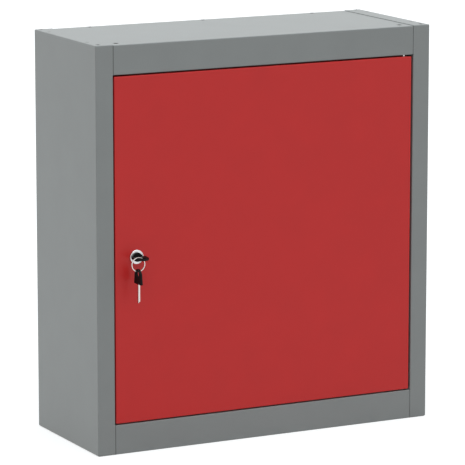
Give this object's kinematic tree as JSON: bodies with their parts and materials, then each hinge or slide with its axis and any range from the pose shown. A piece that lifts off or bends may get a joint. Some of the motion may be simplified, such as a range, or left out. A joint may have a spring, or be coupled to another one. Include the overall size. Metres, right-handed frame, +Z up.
{
  "type": "tool cabinet",
  "caption": "Flat-fronted steel tool cabinet with a red lockable door in a grey folded-sheet body, slotted uprights, shelves, a cam lock and a spare key on a ring.",
  "frame": {"origin": "on the underside of the base panel, under the middle of the cabinet", "axes": "+X to the right seen from the front, +Y from the door to the wall, +Z up"},
  "size_m": [0.6, 0.2702, 0.656],
  "materials": {
    "cabinet_grey": "satin mid grey powder coat on steel sheet",
    "door_red": "satin red powder coat on steel sheet",
    "zinc_plate": "bright zinc plate on steel",
    "lock_chrome": "satin and polished chrome on die-cast zinc",
    "black_plastic": "moulded black plastic, lightly textured",
    "bush_nylon": "black nylon, turned",
    "key_nickel": "nickel-plated steel"
  },
  "bodies": {
    "carcass": {"left_side_panel": "cabinet_grey", "right_side_panel": "cabinet_grey", "top_panel": "cabinet_grey", "base_panel": "cabinet_grey", "back_panel": "cabinet_grey", "top_rivets": "cabinet_grey", "base_rivets": "cabinet_grey", "back_rivets": "cabinet_grey", "front_left_upright": "cabinet_grey", "rear_left_upright": "cabinet_grey", "front_right_upright": "cabinet_grey", "rear_right_upright": "cabinet_grey", "lower_shelf": "cabinet_grey", "upper_shelf": "cabinet_grey", "lower_shelf_clips": "zinc_plate", "upper_shelf_clips": "zinc_plate", "upper_hinge_bush": "bush_nylon", "lower_hinge_bush": "bush_nylon"},
    "door": {"door_panel": "door_red", "door_stiffener": "door_red", "upper_pin_bracket": "zinc_plate", "lower_pin_bracket": "zinc_plate", "upper_hinge_pin": "zinc_plate", "lower_hinge_pin": "zinc_plate", "lock_housing": "lock_chrome", "lock_nut": "zinc_plate"},
    "lock_core": {"lock_plug": "zinc_plate", "lock_cap": "black_plastic", "lock_cam": "zinc_plate", "cam_washer": "zinc_plate", "cam_screw": "zinc_plate", "key_blade": "key_nickel", "key_bow": "black_plastic"},
    "key_ring": {"key_ring": "key_nickel"},
    "spare_key": {"spare_key_blade": "key_nickel", "spare_key_bow": "black_plastic"}
  },
  "joints": [
    {"name": "door_hinge", "type": "hinge", "parent": "carcass", "child": "door", "pos_m": [0.256, -0.1094, 0.328], "axis": [0, 0, 1], "range_deg": [0, 120]},
    {"name": "key_turn", "type": "hinge", "parent": "door", "child": "lock_core", "pos_m": [-0.2315, -0.1164, 0.3176], "axis": [0, -1, 0], "range_deg": [0, 90]},
    {"name": "ring_swing", "type": "hinge", "parent": "door", "child": "key_ring", "pos_m": [-0.2315, -0.1405, 0.3176], "axis": [1, 0, 0], "range_deg": [-25, 8]},
    {"name": "spare_key_swing", "type": "hinge", "parent": "key_ring", "child": "spare_key", "pos_m": [-0.23935, -0.1405, 0.29865], "axis": [1, 0, 0], "range_deg": [-45, 8]}
  ]
}
